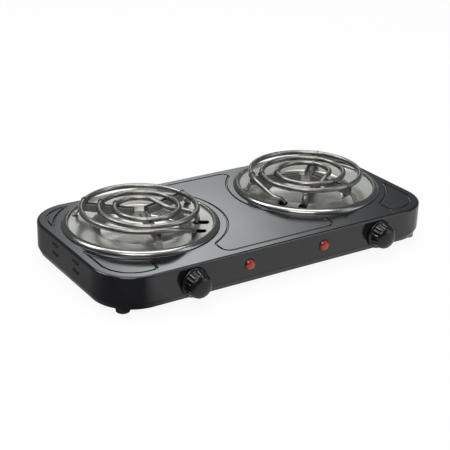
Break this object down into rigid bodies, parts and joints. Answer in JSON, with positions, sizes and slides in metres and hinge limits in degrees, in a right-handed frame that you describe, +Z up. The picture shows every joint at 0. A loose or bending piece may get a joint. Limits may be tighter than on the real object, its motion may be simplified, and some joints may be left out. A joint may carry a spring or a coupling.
{
  "type": "hot plate burner",
  "caption": "Low table-top hot plate with spiral tube elements over bright drip pans, front dials, red pilot lamps and a pressed, glossy dark steel casing.",
  "frame": {"origin": "middle of the bounding box, on the surface the feet stand on", "axes": "+Z up, the front panel with its knobs faces -Y, +X to the right seen from the front"},
  "size_m": [0.4656, 0.2532, 0.072],
  "materials": {
    "black_enamel": "gloss",
    "foot_rubber": "matte",
    "zinc_steel": "satin",
    "brass": "satin",
    "black_plastic": "satin",
    "block_plastic": "satin",
    "lead_insulation": "satin",
    "lead_insulation_pale": "satin",
    "chrome": "polished",
    "element_steel": "satin",
    "support_steel": "satin",
    "ceramic": "matte",
    "knob_plastic": "gloss",
    "lens_red": "gloss",
    "bulb_glass": "clear"
  },
  "bodies": {
    "casing": {"base_plate": "black_enamel", "block_mount_screws": "zinc_steel", "block_screws": "zinc_steel", "block_sleeves": "brass", "cord_gland": "black_plastic", "corner_posts": "zinc_steel", "earth_screw": "brass", "foot_screws": "zinc_steel", "lamp_clips": "zinc_steel", "lamp_live_leads": "lead_insulation", "lamp_neutral_leads": "lead_insulation_pale", "left_bimetal_blade": "brass", "left_contact_blade": "brass", "left_drip_pan": "chrome", "left_hinge_bracket": "zinc_steel", "left_hinge_pin": "zinc_steel", "left_lamp_bulb": "bulb_glass", "left_lamp_lens": "lens_red", "left_pan_strap": "zinc_steel", "left_stack_discs": "ceramic", "left_thermostat_bracket": "zinc_steel", "live_leads": "lead_insulation", "neutral_leads": "lead_insulation_pale", "pan_screws": "zinc_steel", "panel_screws": "zinc_steel", "right_bimetal_blade": "brass", "right_contact_blade": "brass", "right_drip_pan": "chrome", "right_hinge_bracket": "zinc_steel", "right_hinge_pin": "zinc_steel", "right_lamp_bulb": "bulb_glass", "right_lamp_lens": "lens_red", "right_pan_strap": "zinc_steel", "right_stack_discs": "ceramic", "right_thermostat_bracket": "zinc_steel", "rubber_feet": "foot_rubber", "stack_rivets": "zinc_steel", "switched_leads": "lead_insulation", "terminal_block": "block_plastic", "terminal_screws": "brass", "top_housing": "black_enamel"},
    "left_element": {"left_element_tube": "element_steel", "left_element_support": "support_steel", "left_end_seals": "ceramic", "left_terminal_pins": "zinc_steel", "left_element_saddle": "support_steel"},
    "left_control": {"left_knob": "knob_plastic", "left_knob_clip": "zinc_steel", "left_thermostat_shaft": "zinc_steel"},
    "right_element": {"right_element_tube": "element_steel", "right_element_support": "support_steel", "right_end_seals": "ceramic", "right_terminal_pins": "zinc_steel", "right_element_saddle": "support_steel"},
    "right_control": {"right_knob": "knob_plastic", "right_knob_clip": "zinc_steel", "right_thermostat_shaft": "zinc_steel"}
  },
  "joints": [
    {"name": "left_element_tilt", "type": "hinge", "parent": "casing", "child": "left_element", "pos_m": [-0.05023, -0.03696, 0.0295], "axis": [0.6428, 0.766, 0], "range_deg": [0, 20]},
    {"name": "right_element_tilt", "type": "hinge", "parent": "casing", "child": "right_element", "pos_m": [0.05023, -0.03696, 0.0295], "axis": [0.6428, -0.766, 0], "range_deg": [0, 20]},
    {"name": "left_knob_turn", "type": "hinge", "parent": "casing", "child": "left_control", "pos_m": [-0.128, -0.1069, 0.0262], "axis": [0, 1, 0], "range_deg": [0, 270]},
    {"name": "right_knob_turn", "type": "hinge", "parent": "casing", "child": "right_control", "pos_m": [0.1385, -0.1069, 0.0262], "axis": [0, 1, 0], "range_deg": [0, 270]}
  ]
}
